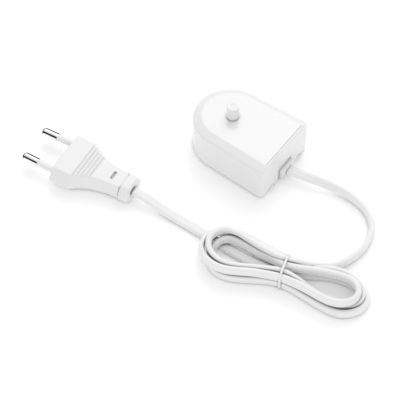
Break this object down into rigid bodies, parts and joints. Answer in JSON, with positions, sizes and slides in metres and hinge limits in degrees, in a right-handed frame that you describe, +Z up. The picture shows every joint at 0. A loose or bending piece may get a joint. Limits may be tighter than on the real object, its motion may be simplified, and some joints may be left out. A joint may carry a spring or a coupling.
{
  "type": "toothbrush charger",
  "caption": "Inductive toothbrush charging base with an upright post, flat mains cord folded in a tied bundle, and a two-pin plug.",
  "frame": {"origin": "middle of the charging base's footprint, on the surface it stands on", "axes": "+Z up along the charging post; -Y out of the flat face that the cord leaves; +Y towards the round end; +X to the right seen from behind the flat face, looking along +Y"},
  "size_m": [0.0959, 0.1887, 0.0296],
  "materials": {
    "white_gloss": "polished moulded ABS",
    "white_satin": "satin moulded plastic",
    "ferrite": "ground ferrite",
    "bobbin_nylon": "natural nylon",
    "enamelled_copper": "enamelled wire",
    "board_laminate": "solder-masked laminate",
    "capacitor_yellow": "moulded box",
    "capacitor_red": "dipped epoxy",
    "capacitor_sleeve": "shrink sleeve",
    "black_epoxy": "moulded epoxy",
    "resistor_green": "cement coat",
    "resistor_tan": "lacquer coat",
    "core_brown": "PVC insulation",
    "core_blue": "PVC insulation",
    "cord_sheath": "soft white PVC, slight sheen",
    "tie_coating": "plastic-coated wire",
    "plug_white": "moulded PVC, semi-gloss",
    "sleeve_plastic": "moulded insulation",
    "pin_metal": "nickel plated",
    "crimp_brass": "tinned brass"
  },
  "bodies": {
    "root": {"top_shell": "white_gloss", "bottom_cover": "white_satin", "cord_grommet": "white_satin", "ferrite_rod": "ferrite", "coil_bobbin": "bobbin_nylon", "primary_coil": "enamelled_copper", "coil_leads": "enamelled_copper", "circuit_board": "board_laminate", "film_capacitor": "capacitor_yellow", "resonance_capacitor": "capacitor_red", "electrolytic_capacitor": "capacitor_sleeve", "rectifier_diodes": "black_epoxy", "fusible_resistor": "resistor_green", "bias_resistors": "resistor_tan", "switching_transistor": "black_epoxy", "live_lead": "core_brown", "neutral_lead": "core_blue", "cord_loop": "cord_sheath", "cord_hank": "cord_sheath", "cord_plug_run": "cord_sheath", "cord_tie": "tie_coating", "plug_body": "plug_white", "pin_carrier": "bobbin_nylon", "live_pin": "pin_metal", "neutral_pin": "pin_metal", "live_pin_sleeve": "sleeve_plastic", "neutral_pin_sleeve": "sleeve_plastic", "crimp_terminals": "crimp_brass", "plug_cores": "core_brown"}
  },
  "joints": []
}
